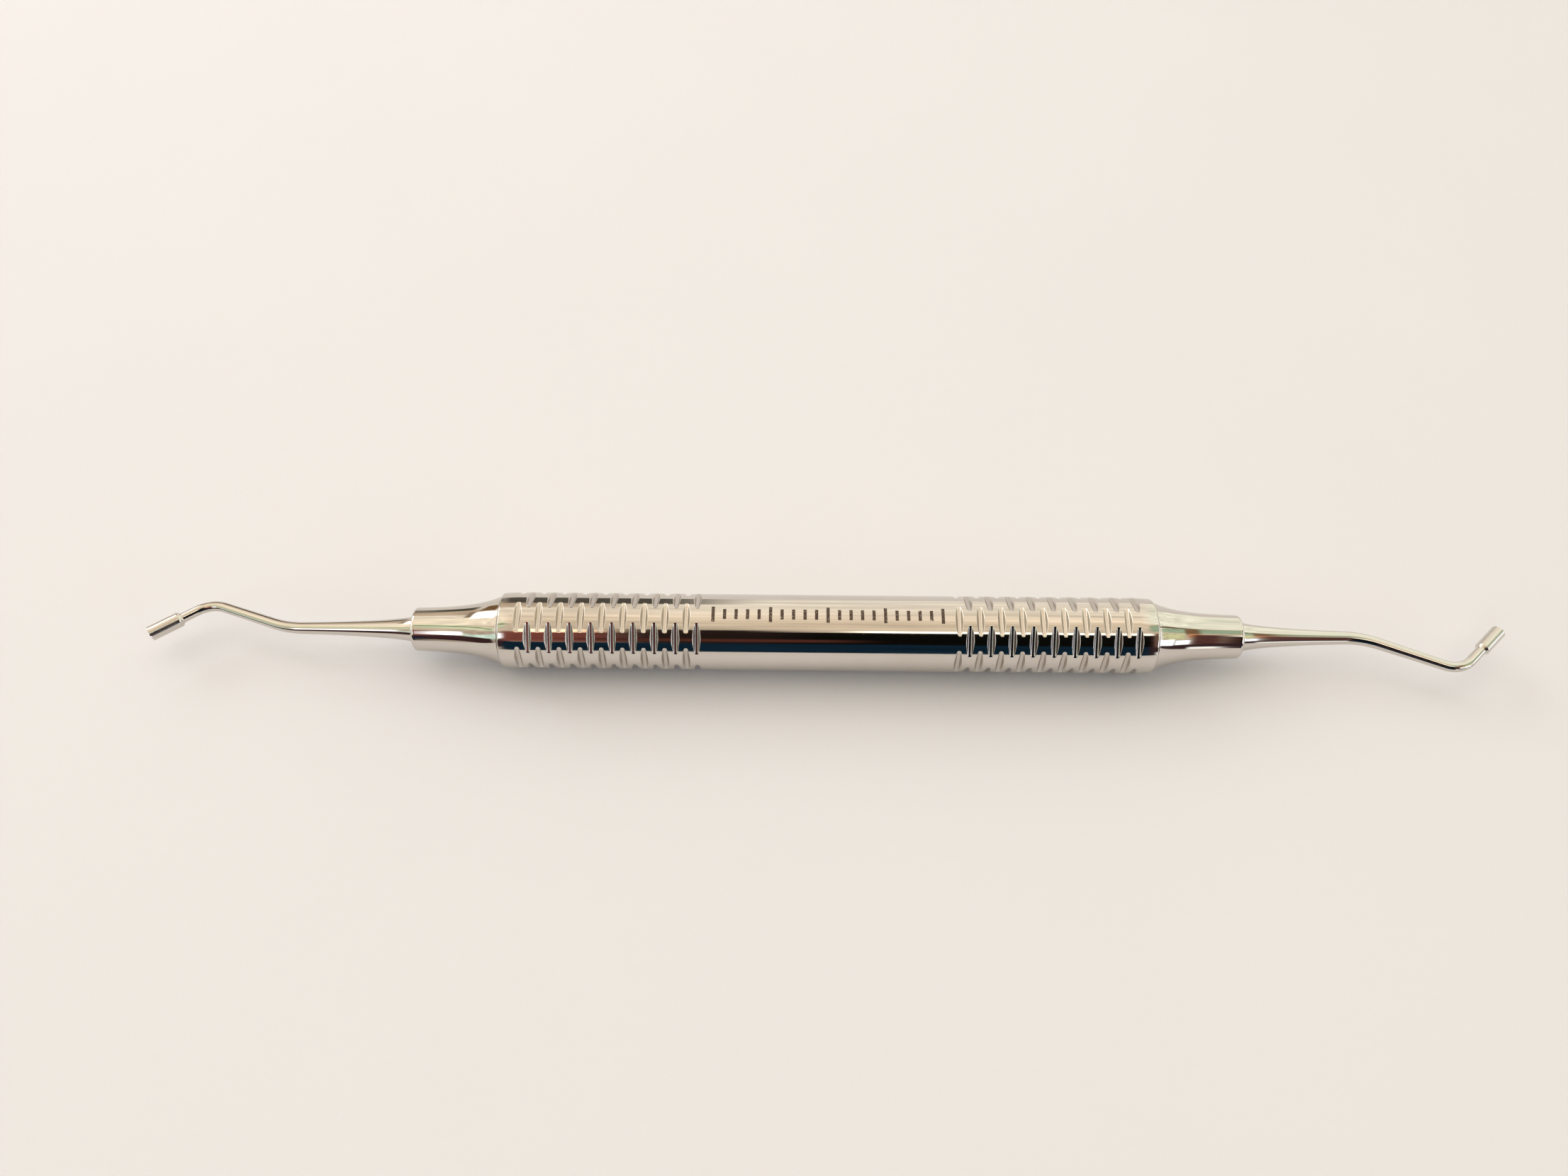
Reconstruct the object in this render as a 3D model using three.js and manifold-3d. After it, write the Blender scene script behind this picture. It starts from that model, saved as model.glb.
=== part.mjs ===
// A double-ended dental plugger: a hollow polished steel handle with two grooved grip bands,
// a tapered cone pressed into each end of it, and a bent working end pressed into each cone.
//
// Millimetres. The handle's axis runs along X and lies one handle radius above the ground plane, so
// that the instrument rests on Z = 0. The origin is under the middle of the handle.

import * as THREE from 'three';
import { mergeVertices } from 'three/addons/utils/BufferGeometryUtils.js';
import Module from 'manifold-3d';

const wasm = await Module();
wasm.setup();

// Driving dimensions, in millimetres and degrees.

const overallLength = 169.7;

const tube = {
  radius: 4.75,
  boreRadius: 4.0,
  length: 80.6,
  crownLength: 2.2, // the stretch at each end over which the outside falls gently
  crownDrop: 0.09,
  crownSteps: 3,
  endChamfer: 0.26,
};

const grip = {
  bandCentres: [-26.9, 26.9],
  groovesPerRow: 9,
  pitch: 2.57,
  stagger: 0.65, // how far each set of rows sits from the band's centre along the handle
  rowsPerSet: 5,
  firstRowAngle: { near: 6, far: 39 }, // from the top of the handle, turning toward -Y
  halfAngle: 24, // half of what one groove spans round the handle
  floorWidth: 0.4,
  mouthWidth: 0.95,
  cutterOvershoot: 0.5,
};

const cone = {
  length: 11.1,
  waistRadius: 2.62, // what the flare settles to
  flareHeight: 1.75, // how much wider the cone is at the tube than at its waist
  flareLength: 3.6, // the length over which the flare falls to a third
  rimRadius: 0.45, // the rounded edge round the tip face
  spigotRadius: 3.95,
  spigotLength: 6,
  spigotChamfer: 0.4,
  socketRadius: 1.55,
  socketDepth: 13.5,
};

const tang = { radius: 1.5, length: 13, chamfer: 0.4 };

const seatGap = 0.05; // the air left where two turned shoulders meet

// Each plugger end is turned straight and then bent twice: first away from the axis, then back across it.
const largeEnd = {
  neckRadius: 0.6,
  taperHeight: 0.92,
  taperLength: 7.5,
  filletHeight: 0.13,
  filletLength: 1.0,
  offsetBend: { angle: 18.3, radius: 12 },
  hookBend: { headAngle: 33.5, radius: 4.0 },
  bendSpacing: 10.8,
  headReach: 8.02, // from the corner of the hook bend to the working face
  headRadius: 0.95,
  headLength: 3.75,
  toothDepth: 0.22,
};

const smallEnd = {
  neckRadius: 0.59,
  taperHeight: 1.13,
  taperLength: 8.3,
  filletHeight: 0.17,
  filletLength: 1.0,
  offsetBend: { angle: 21.3, radius: 12 },
  hookBend: { headAngle: 42.5, radius: 3.3 },
  bendSpacing: 12.24,
  headReach: 8.18,
  headRadius: 0.875,
  headLength: 3.55,
  toothDepth: 0.14,
};

const shoulderLength = 0.5;

const serration = {
  teethAcross: 4,
  rimMargin: 0.93, // the teeth fill this share of the working face's diameter
  grooveShare: 0.6, // the share of the pitch that each groove takes at its mouth
};

const sides = { handle: 36, shank: 18 };

const steel = {
  handle: { color: 0xd9d3ca, roughness: 0.12, metalness: 1 },
  cone: { color: 0xd6d0c6, roughness: 0.1, metalness: 1 },
  tip: { color: 0xcfc8bd, roughness: 0.14, metalness: 1 },
};

const tubeEnd = tube.length / 2;
const coneFace = tubeEnd + cone.length;

// A solid turned about the X axis from [place along X, radius] pairs. Its flats touch the stated radius,
// and one of them faces straight down.
function turned(outline, sideCount) {
  const circumscribed = 1 / Math.cos(Math.PI / sideCount);
  const points = outline.map(([x, radius]) => new THREE.Vector2(radius * circumscribed, x));
  const geometry = new THREE.LatheGeometry(points, sideCount, Math.PI / sideCount);
  geometry.rotateZ(-Math.PI / 2);
  return welded(geometry);
}

function welded(geometry) {
  geometry.deleteAttribute('normal');
  geometry.deleteAttribute('uv');
  return mergeVertices(geometry, 1e-3);
}

function toSolid(geometry) {
  return new wasm.Manifold(
    new wasm.Mesh({
      numProp: 3,
      vertProperties: new Float32Array(geometry.getAttribute('position').array),
      triVerts: new Uint32Array(geometry.getIndex().array),
    }),
  );
}

function toGeometry(solid) {
  const mesh = solid.getMesh();
  const geometry = new THREE.BufferGeometry();
  geometry.setAttribute('position', new THREE.BufferAttribute(mesh.vertProperties, 3));
  geometry.setIndex(new THREE.BufferAttribute(mesh.triVerts, 1));
  return geometry;
}

function cut(geometry, cutters) {
  const whole = cutters.reduce((solid, cutter) => solid.subtract(toSolid(cutter)), toSolid(geometry));
  return toGeometry(whole);
}

// The handle: an open tube whose outside falls gently at both ends, down to a small chamfer.

function crownedEnd(sign) {
  const points = [];
  for (let step = 0; step <= tube.crownSteps; step += 1) {
    const share = step / tube.crownSteps;
    const x = tubeEnd - tube.endChamfer - tube.crownLength * (1 - share);
    points.push([sign * x, tube.radius - tube.crownDrop * share ** 2]);
  }
  points.push([sign * tubeEnd, tube.radius - tube.crownDrop - tube.endChamfer]);
  return points;
}

function tubeBlank() {
  const outline = [
    [-tubeEnd, tube.boreRadius],
    ...crownedEnd(-1).reverse(),
    ...crownedEnd(1),
    [tubeEnd, tube.boreRadius],
    [-tubeEnd, tube.boreRadius],
  ];
  return turned(outline, sides.handle);
}

// One grip groove is a straight milled slot with sloping walls, so its floor is a chord of the handle.
function grooveCutter(x, angle) {
  const halfAngle = THREE.MathUtils.degToRad(grip.halfAngle);
  const floorHeight = tube.radius * Math.cos(halfAngle);
  const wallRun = (grip.mouthWidth - grip.floorWidth) / 2 / (tube.radius - floorHeight);
  const topHeight = tube.radius + grip.cutterOvershoot;
  const floorHalf = grip.floorWidth / 2;
  const topHalf = floorHalf + wallRun * (topHeight - floorHeight);
  const section = new THREE.Shape([
    new THREE.Vector2(-floorHalf, floorHeight),
    new THREE.Vector2(floorHalf, floorHeight),
    new THREE.Vector2(topHalf, topHeight),
    new THREE.Vector2(-topHalf, topHeight),
  ]);
  const depth = 2 * (tube.radius * Math.sin(halfAngle) + grip.cutterOvershoot);
  const slot = new THREE.ExtrudeGeometry(section, { depth, bevelEnabled: false });
  slot.translate(x, 0, -depth / 2);
  slot.rotateX(Math.PI / 2 + THREE.MathUtils.degToRad(angle));
  return welded(slot);
}

function gripCutters() {
  const cutters = [];
  const sets = [
    [grip.firstRowAngle.near, -grip.stagger],
    [grip.firstRowAngle.far, grip.stagger],
  ];
  for (const bandCentre of grip.bandCentres) {
    for (const [firstAngle, shift] of sets) {
      for (let row = 0; row < grip.rowsPerSet; row += 1) {
        for (let groove = 0; groove < grip.groovesPerRow; groove += 1) {
          const step = groove - (grip.groovesPerRow - 1) / 2;
          const x = bandCentre + shift + step * grip.pitch;
          cutters.push(grooveCutter(x, firstAngle + (row * 360) / grip.rowsPerSet));
        }
      }
    }
  }
  return cutters;
}

// A cone: a flared collar with a rounded tip face, a spigot for the tube and a blind socket for a tang.

function flareRadius(fromTube) {
  return cone.waistRadius + cone.flareHeight * Math.exp(-fromTube / cone.flareLength);
}

function coneOutline() {
  const rimStart = cone.length - cone.rimRadius;
  const flareSteps = 8;
  const rimSteps = 3;
  const outline = [
    [-cone.spigotLength, 0],
    [-cone.spigotLength, cone.spigotRadius - cone.spigotChamfer],
    [-cone.spigotLength + cone.spigotChamfer, cone.spigotRadius],
    [seatGap, cone.spigotRadius],
  ];
  for (let step = 0; step < flareSteps; step += 1) {
    const fromTube = seatGap + (rimStart - seatGap) * (step / flareSteps) ** 1.3;
    outline.push([fromTube, flareRadius(fromTube)]);
  }
  for (let step = 0; step <= rimSteps; step += 1) {
    const turn = (Math.PI / 2) * (step / rimSteps);
    const inset = cone.rimRadius * (1 - Math.cos(turn));
    outline.push([rimStart + cone.rimRadius * Math.sin(turn), flareRadius(rimStart) - inset]);
  }
  outline.push([cone.length, cone.socketRadius]);
  outline.push([cone.length - cone.socketDepth, cone.socketRadius]);
  outline.push([cone.length - cone.socketDepth, 0]);
  return outline;
}

// A plugger end's centre line, from the cone's face: straight, offset bend, straight, hook bend, straight.
function bendPlan(end) {
  const away = THREE.MathUtils.degToRad(end.offsetBend.angle);
  const back = THREE.MathUtils.degToRad(end.hookBend.headAngle);
  const offsetTangent = end.offsetBend.radius * Math.tan(away / 2);
  const hookTangent = end.hookBend.radius * Math.tan((away + back) / 2);
  const headCorner = end.headReach * Math.cos(back) + end.headRadius * Math.sin(back);
  const firstCorner = overallLength / 2 - coneFace - end.bendSpacing * Math.cos(away) - headCorner;
  return [
    { length: firstCorner - offsetTangent, turn: 0 },
    { length: end.offsetBend.radius * away, turn: -away },
    { length: end.bendSpacing - offsetTangent - hookTangent, turn: 0 },
    { length: end.hookBend.radius * (away + back), turn: away + back },
    { length: end.headReach - hookTangent, turn: 0 },
  ];
}

function planLength(plan) {
  return plan.reduce((sum, piece) => sum + piece.length, 0);
}

// Where the centre line is, and which way it heads, at a distance along it. The tang lies straight before 0.
function centreLineAt(plan, distance) {
  let x = Math.min(distance, 0);
  let y = 0;
  let heading = 0;
  let left = Math.max(distance, 0);
  for (const piece of plan) {
    const run = Math.min(left, piece.length);
    const turn = piece.turn * (run / piece.length);
    const chord = turn === 0 ? run : (2 * run * Math.sin(turn / 2)) / turn;
    x += chord * Math.cos(heading + turn / 2);
    y += chord * Math.sin(heading + turn / 2);
    heading += turn;
    left -= run;
  }
  return { x, y, heading };
}

// Bends a straight blank that lies along X, so that its axis follows the plan.
function bent(geometry, plan) {
  const position = geometry.getAttribute('position');
  for (let index = 0; index < position.count; index += 1) {
    const at = centreLineAt(plan, position.getX(index));
    const side = position.getY(index);
    position.setX(index, at.x - side * Math.sin(at.heading));
    position.setY(index, at.y + side * Math.cos(at.heading));
  }
  return geometry;
}

function shankRadius(end, distance) {
  const taper = end.taperHeight * Math.exp(-distance / end.taperLength);
  const fillet = end.filletHeight * Math.exp(-distance / end.filletLength);
  return end.neckRadius + taper + fillet;
}

// Where the shank's sections lie: close together at its foot and round the hook, and further apart elsewhere.
function shankStations(plan, stop) {
  const steps = [8, 4, 3, 8, 2];
  const footSpacing = 1.6;
  const stations = [];
  let start = 0;
  plan.forEach((piece, index) => {
    const isFoot = index === 0;
    const from = isFoot ? seatGap : start;
    const to = Math.min(start + piece.length, stop);
    for (let step = 0; step < steps[index]; step += 1) {
      const share = step / steps[index];
      stations.push(from + (to - from) * (isFoot ? share ** footSpacing : share));
    }
    start += piece.length;
  });
  return stations;
}

function pluggerOutline(end, plan) {
  const total = planLength(plan);
  const headStart = total - end.headLength;
  const shoulderStart = headStart - shoulderLength;
  const shoulderSteps = 4;
  const outline = [
    [-tang.length, 0],
    [-tang.length, tang.radius - tang.chamfer],
    [-tang.length + tang.chamfer, tang.radius],
    [seatGap, tang.radius],
  ];
  for (const station of shankStations(plan, shoulderStart)) {
    outline.push([station, shankRadius(end, station)]);
  }
  const neck = shankRadius(end, shoulderStart);
  for (let step = 0; step <= shoulderSteps; step += 1) {
    const share = step / shoulderSteps;
    const rise = share * share * (3 - 2 * share);
    outline.push([shoulderStart + shoulderLength * share, neck + (end.headRadius - neck) * rise]);
  }
  outline.push([total, end.headRadius]);
  outline.push([total, 0]);
  return outline;
}

// The V grooves that cross the working face both ways and leave square teeth. Their walls are carried on
// past the face, as far above it as the grooves are deep.
function serrationCutters(end, faceDistance) {
  const pitch = (2 * end.headRadius * serration.rimMargin) / serration.teethAcross;
  const halfMouth = (pitch * serration.grooveShare) / 2;
  const section = new THREE.Shape([
    new THREE.Vector2(0, -end.toothDepth),
    new THREE.Vector2(2 * halfMouth, end.toothDepth),
    new THREE.Vector2(-2 * halfMouth, end.toothDepth),
  ]);
  const depth = 3 * end.headRadius;
  const grooveCount = serration.teethAcross - 1;
  const cutters = [];
  for (const quarterTurn of [0, Math.PI / 2]) {
    for (let groove = 0; groove < grooveCount; groove += 1) {
      const slot = new THREE.ExtrudeGeometry(section, { depth, bevelEnabled: false });
      slot.translate((groove - (grooveCount - 1) / 2) * pitch, 0, -depth / 2);
      slot.rotateZ(-Math.PI / 2);
      slot.rotateX(quarterTurn);
      slot.translate(faceDistance, 0, 0);
      cutters.push(welded(slot));
    }
  }
  return cutters;
}

function pluggerEnd(end) {
  const plan = bendPlan(end);
  const blank = turned(pluggerOutline(end, plan), sides.shank);
  return bent(cut(blank, serrationCutters(end, planLength(plan))), plan);
}

function named(name, geometry, material) {
  const mesh = new THREE.Mesh(geometry, new THREE.MeshStandardMaterial(material));
  mesh.name = name;
  return mesh;
}

// One end of the instrument, as it lies at the +X end: its cone and the plugger end pressed into that.
function instrumentEnd(coneName, endName, end) {
  const group = new THREE.Group();
  const collar = named(coneName, turned(coneOutline(), sides.handle), steel.cone);
  collar.position.x = tubeEnd;
  const tip = named(endName, pluggerEnd(end), steel.tip);
  tip.position.x = coneFace;
  group.add(collar, tip);
  return group;
}

const instrument = new THREE.Group();
instrument.position.z = tube.radius;

const rightEnd = instrumentEnd('right_cone', 'small_plugger_end', smallEnd);
const leftEnd = instrumentEnd('left_cone', 'large_plugger_end', largeEnd);
leftEnd.rotation.z = Math.PI;

instrument.add(named('handle_tube', cut(tubeBlank(), gripCutters()), steel.handle), rightEnd, leftEnd);

export default instrument;
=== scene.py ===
"""A double-ended dental plugger in polished steel, lying on warm white paper in a bright room.

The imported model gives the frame. Each of its five parts is replaced here by a fine mesh of the same
size: the grip grooves get rounded edges, the turned parts get true curves and soft corners, and the
working faces keep their teeth. Lengths are in millimetres, and become metres where a mesh, a light or
the camera is made.
"""

import math

import bpy
import numpy as np
from mathutils import Matrix, Vector, geometry


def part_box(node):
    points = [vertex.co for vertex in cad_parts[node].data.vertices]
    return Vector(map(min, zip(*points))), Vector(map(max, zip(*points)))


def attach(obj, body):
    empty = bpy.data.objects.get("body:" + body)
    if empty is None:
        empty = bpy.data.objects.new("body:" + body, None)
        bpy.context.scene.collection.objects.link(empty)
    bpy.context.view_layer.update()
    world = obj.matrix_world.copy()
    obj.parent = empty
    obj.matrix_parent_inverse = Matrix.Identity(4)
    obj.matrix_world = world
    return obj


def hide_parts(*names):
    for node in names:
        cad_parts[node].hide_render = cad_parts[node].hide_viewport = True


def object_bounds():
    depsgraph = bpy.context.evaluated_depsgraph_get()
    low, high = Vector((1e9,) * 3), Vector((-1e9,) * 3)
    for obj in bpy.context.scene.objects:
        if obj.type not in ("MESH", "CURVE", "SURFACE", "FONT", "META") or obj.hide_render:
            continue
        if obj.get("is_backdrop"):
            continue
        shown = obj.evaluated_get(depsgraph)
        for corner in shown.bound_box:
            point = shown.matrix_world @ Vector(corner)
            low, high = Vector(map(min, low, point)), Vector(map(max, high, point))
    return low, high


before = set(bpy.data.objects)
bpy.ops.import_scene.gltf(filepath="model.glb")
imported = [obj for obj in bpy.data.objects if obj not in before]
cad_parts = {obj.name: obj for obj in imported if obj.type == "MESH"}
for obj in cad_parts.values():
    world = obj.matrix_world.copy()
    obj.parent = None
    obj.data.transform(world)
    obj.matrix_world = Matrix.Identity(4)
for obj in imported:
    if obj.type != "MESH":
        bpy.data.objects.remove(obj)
cad_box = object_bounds()

METRE = 1000.0  # millimetres


# --- Sizes: from the frame where it has them, and otherwise the same as the parts' own ------------


def corners_in_millimetres(node):
    low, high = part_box(node)
    return np.array(low) * METRE, np.array(high) * METRE


TUBE_END = corners_in_millimetres("handle_tube")[1][0]
TUBE_RADIUS = corners_in_millimetres("handle_tube")[1][2] / 2
CONE_FACE = corners_in_millimetres("right_cone")[1][0]
LEFT_TIP = -corners_in_millimetres("large_plugger_end")[0][0]
RIGHT_TIP = corners_in_millimetres("small_plugger_end")[1][0]

BORE_RADIUS = 4.0
CROWN_LENGTH = 2.2  # the stretch at each end over which the handle falls gently
CROWN_DROP = 0.09
CROWN_LINES = 9
END_ROUNDING = 0.26
BORE_EDGE_ROUNDING = 0.07
LIP_START = 1.0  # how far before the rounded end its outline begins

BAND_CENTRES = (-26.9, 26.9)
GROOVES_PER_ROW = 9
GROOVE_PITCH = 2.57
ROWS_PER_SET = 5
ROW_PERIOD = 360 / ROWS_PER_SET
ROW_SETS = ((6, -0.65), (39, 0.65))  # angle of the first row from the top towards -Y, and shift along X
GROOVE_HALF_ANGLE = 24
GROOVE_FLOOR_HALF = 0.2
GROOVE_MOUTH_HALF = 0.475
FLOOR_ROUNDING = 0.08
EDGE_ROUNDING = 0.035
LEAST_WALL = 0.03  # how wide a groove's walls stay in the mesh where there is no groove
ANGLES_PER_ROW = 16
ANGLES_BY_GROOVE_END = (-2.2, -1.1, 0, 1.1, 2.2)

WAIST_RADIUS = 2.62
FLARE_HEIGHT = 1.75
FLARE_LENGTH = 3.6
RIM_RADIUS = 0.45
SPIGOT_RADIUS, SPIGOT_LENGTH = 3.95, 6.0
SOCKET_RADIUS, SOCKET_DEPTH = 1.55, 13.5
TANG_RADIUS, TANG_LENGTH = 1.5, 13.0
SEAT_GAP = 0.05
HIDDEN_CORNER = 0.3
SEAT_CORNER = 0.03
FLARE_CORNER = 0.05
FLARE_CURVE_START = 0.15  # how far from its seat the flare's own curve takes over
FLARE_STEPS = 60
RIM_STEPS = 10
SOCKET_CORNER = 0.08
SPIGOT_FAN_RADIUS = 2.0  # the flat ends are closed by a fan of triangles inside a ring this wide
FAN_RADIUS = 0.8

LARGE_END = {
    "neck": 0.6,
    "taper": (0.92, 7.5),
    "fillet": (0.13, 1.0),
    "offset_bend": (18.3, 12.0),
    "hook_bend": (33.5, 4.0),
    "bend_spacing": 10.8,
    "head_reach": 8.02,
    "head_radius": 0.95,
    "head_length": 3.75,
    "tooth_depth": 0.22,
    "tip": LEFT_TIP,
}
SMALL_END = {
    "neck": 0.59,
    "taper": (1.13, 8.3),
    "fillet": (0.17, 1.0),
    "offset_bend": (21.3, 12.0),
    "hook_bend": (42.5, 3.3),
    "bend_spacing": 12.24,
    "head_reach": 8.18,
    "head_radius": 0.875,
    "head_length": 3.55,
    "tooth_depth": 0.14,
    "tip": RIGHT_TIP,
}
SHOULDER_LENGTH = 0.5
TANG_CORNER = 0.02
FOOT_CORNER = 0.03
FOOT_CURVE_START = 0.08  # how far from its seat the shank's own curve takes over
TEETH_ACROSS = 4
TEETH_SHARE = 0.93
TOOTH_GROOVE_SHARE = 0.6
RIM_SOFTNESS = 0.02
SAME_SPOT = 1e-4  # points of the working face that lie closer together than this are one

CONE_SIDES = 160
SHANK_SIDES = 96
SHANK_SPACING = 0.2
FOOT_SPACING, FOOT_STRETCH = 0.06, 2.0
SHOULDER_STEPS, SHOULDER_MARGINS = 24, (1.2, 0.2)  # margins before and after, in shoulder lengths
HEAD_STEPS, HEAD_START_GAP = 16, 0.4
TINY_STEP = 1e-4  # the step over which slopes are measured

ALONG = np.array([1.0, 0.0, 0.0])
AXIS_HEIGHT = np.array([0.0, 0.0, TUBE_RADIUS])


# --- Outlines: points (x, r) in a plane through the axis, each with its outward normal ------------


def rounded(corners, steps=5):
    """A line through corners (x, r, rounding) with the outside on its left, and its exact normals."""
    places = [np.array(corner[:2], float) for corner in corners]
    headings = [(b - a) / np.linalg.norm(b - a) for a, b in zip(places, places[1:])]
    lefts = [np.array([-heading[1], heading[0]]) for heading in headings]
    points, normals = [places[0]], [lefts[0]]
    for index in range(1, len(corners) - 1):
        before, after = headings[index - 1], headings[index]
        turn = math.atan2(before[0] * after[1] - before[1] * after[0], before @ after)
        side = math.copysign(1.0, turn)
        radius = corners[index][2]
        start = places[index] - before * radius * math.tan(abs(turn) / 2)
        centre = start + side * radius * lefts[index - 1]
        x, r = lefts[index - 1]
        for step in range(steps + 1):
            angle = turn * step / steps
            cosine, sine = math.cos(angle), math.sin(angle)
            normal = np.array([x * cosine - r * sine, x * sine + r * cosine])
            points.append(centre - side * radius * normal)
            normals.append(normal)
    points.append(places[-1])
    normals.append(lefts[-1])
    return np.array(points), np.array(normals)


def curve(radius_at, places):
    """Points on r = radius_at(x), with the curve's own normals."""
    slope = (radius_at(places + TINY_STEP) - radius_at(places - TINY_STEP)) / (2 * TINY_STEP)
    length = np.sqrt(1 + slope**2)
    return np.stack([places, radius_at(places)], 1), np.stack([-slope / length, 1 / length], 1)


def joined(*outlines):
    return np.concatenate([o[0] for o in outlines]), np.concatenate([o[1] for o in outlines])


def inner(outline, first=0, last=0):
    """The outline without some points at its start and its end."""
    stop = len(outline[0]) - last
    return outline[0][first:stop], outline[1][first:stop]


# --- Meshes ---------------------------------------------------------------------------------------


def across(angles):
    """Unit vectors across the axis, at angles in degrees from straight up towards -Y."""
    turn = np.radians(angles)
    return np.stack([0 * turn, -np.sin(turn), np.cos(turn)], -1)


def turned(outline, angles):
    """Rings of points and normals for an outline turned about the X axis."""
    out = across(angles)[None]
    rings = [values[:, None, :1] * ALONG + values[:, None, 1:] * out for values in outline]
    return rings[0], rings[1]


class Shell:
    """The points and faces of one closed piece, with a normal for each corner of each face."""

    def __init__(self):
        self.points = []
        self.faces = []
        self.normals = []

    def add_points(self, points):
        first = len(self.points)
        self.points.extend(points)
        return first

    def add_face(self, face, normals):
        self.faces.append(face)
        self.normals.extend(normals)

    def add_strip(self, ring, following, normals, following_normals):
        """Quads from one ring of point numbers to the next one along."""
        for side in range(len(ring)):
            after = (side + 1) % len(ring)
            self.add_face(
                (ring[side], ring[after], following[after], following[side]),
                (normals[side], normals[after], following_normals[after], following_normals[side]),
            )

    def add_rings(self, points, normals, closed=False):
        """A tube of rings, with its last joined to its first if closed. Returns the last ring's numbers."""
        count, sides = points.shape[:2]
        first = self.add_points(points.reshape(-1, 3))
        rings = [range(first + n * sides, first + (n + 1) * sides) for n in range(count)]
        for n in range(count if closed else count - 1):
            follower = (n + 1) % count
            self.add_strip(rings[n], rings[follower], normals[n], normals[follower])
        return rings[-1]

    def add_end(self, ring, centre, normal):
        """A flat end: a fan from its middle, facing along +X or -X as its normal does."""
        middle = self.add_points([centre])
        for side, point in enumerate(ring):
            after = ring[(side + 1) % len(ring)]
            face = (middle, point, after) if normal[0] > 0 else (middle, after, point)
            self.add_face(face, (normal,) * 3)

    def to_piece(self, name, material, node, places=()):
        points, normals = np.array(self.points), np.array(self.normals)
        corners = np.concatenate(self.faces)
        for place in places:
            points, normals = place(points, normals, points[corners])
        mesh = bpy.data.meshes.new(name)
        mesh.from_pydata((points + AXIS_HEIGHT) / METRE, [], self.faces)
        mesh.shade_smooth()
        mesh.normals_split_custom_set(normals)
        mesh.materials.append(material)
        piece = bpy.data.objects.new(name, mesh)
        bpy.context.collection.objects.link(piece)
        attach(piece, "root")
        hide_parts(node)
        return piece


def half_turn(points, normals, _):
    """Turns the +X end of the instrument round to be the -X end."""
    return points * [-1, -1, 1], normals * [-1, -1, 1]


# --- The handle: an open tube with two bands of milled grip grooves -------------------------------

CROWN_END = TUBE_END - END_ROUNDING
GROOVE_FLOOR_HEIGHT = TUBE_RADIUS * math.cos(math.radians(GROOVE_HALF_ANGLE))
WALL_SLOPE = (TUBE_RADIUS - GROOVE_FLOOR_HEIGHT) / (GROOVE_MOUTH_HALF - GROOVE_FLOOR_HALF)


def ramp(value, rounding):
    """0 for a negative value and the value itself for a positive one, with a rounded corner between."""
    return np.where(value > rounding, value, np.clip(value + rounding, 0, None) ** 2 / (4 * rounding))


def from_row(angle, first_angle):
    """How far round an angle is from the middle of the nearest row, in degrees."""
    return (angle - first_angle + ROW_PERIOD / 2) % ROW_PERIOD - ROW_PERIOD / 2


def handle_radius(x, angle):
    crown = np.clip((np.abs(x) - (CROWN_END - CROWN_LENGTH)) / CROWN_LENGTH, 0, None)
    radius = TUBE_RADIUS - CROWN_DROP * crown**2
    half_count = (GROOVES_PER_ROW - 1) / 2
    for centre in BAND_CENTRES:
        for first_angle, shift in ROW_SETS:
            place = np.clip(np.round((x - centre - shift) / GROOVE_PITCH), -half_count, half_count)
            beside = np.abs(x - centre - shift - place * GROOVE_PITCH)
            height = GROOVE_FLOOR_HEIGHT + WALL_SLOPE * ramp(beside - GROOVE_FLOOR_HALF, FLOOR_ROUNDING)
            slot = height / np.cos(np.radians(from_row(angle, first_angle)))
            radius = radius - ramp(radius - slot, EDGE_ROUNDING)
    return radius


def groove_lines(first_angle, angles):
    """Lines along one groove's floor and edges: how far each is to the side, at each angle."""
    turn = np.radians(from_row(angles, first_angle))
    wall = (TUBE_RADIUS * np.cos(turn) - GROOVE_FLOOR_HEIGHT) / WALL_SLOPE
    wall = np.clip(wall, LEAST_WALL, None)
    inner_soft = np.minimum(FLOOR_ROUNDING, wall / 3)
    outer_soft = np.minimum(EDGE_ROUNDING, wall / 3)
    floor = GROOVE_FLOOR_HALF + 0 * wall
    mouth = floor + wall
    right = [
        floor - FLOOR_ROUNDING,
        floor,
        floor + inner_soft,
        mouth - outer_soft,
        mouth,
        mouth + EDGE_ROUNDING,
    ]
    return [-line for line in reversed(right)] + [0 * wall] + right


def handle_lines(angles):
    """Where the handle's lines run along X, at each angle, from one end to the other."""
    crown = CROWN_END - CROWN_LENGTH * np.linspace(0, 1, CROWN_LINES)
    lines = [np.full(len(angles), x) for x in [*-crown, *crown]]
    for centre in BAND_CENTRES:
        for first_angle, shift in ROW_SETS:
            sideways = groove_lines(first_angle, angles)
            for groove in range(GROOVES_PER_ROW):
                place = centre + shift + (groove - (GROOVES_PER_ROW - 1) / 2) * GROOVE_PITCH
                lines += [place + line for line in sideways]
    return np.sort(np.array(lines), axis=0)


def handle_angles():
    """Angles round the handle: evenly spaced, and closer together where grooves end."""
    ends = [first + side * GROOVE_HALF_ANGLE for first, _ in ROW_SETS for side in (-1, 1)]
    close = [end + offset for end in ends for offset in ANGLES_BY_GROOVE_END]
    even = np.arange(0, ROW_PERIOD, ROW_PERIOD / ANGLES_PER_ROW)
    distance = [min(abs(from_row(angle, line)) for line in close) for angle in even]
    period = np.unique(np.round([*np.mod(close, ROW_PERIOD), *even[np.array(distance) > 1]], 3))
    return np.concatenate([period + row * ROW_PERIOD for row in range(ROWS_PER_SET)])


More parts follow.
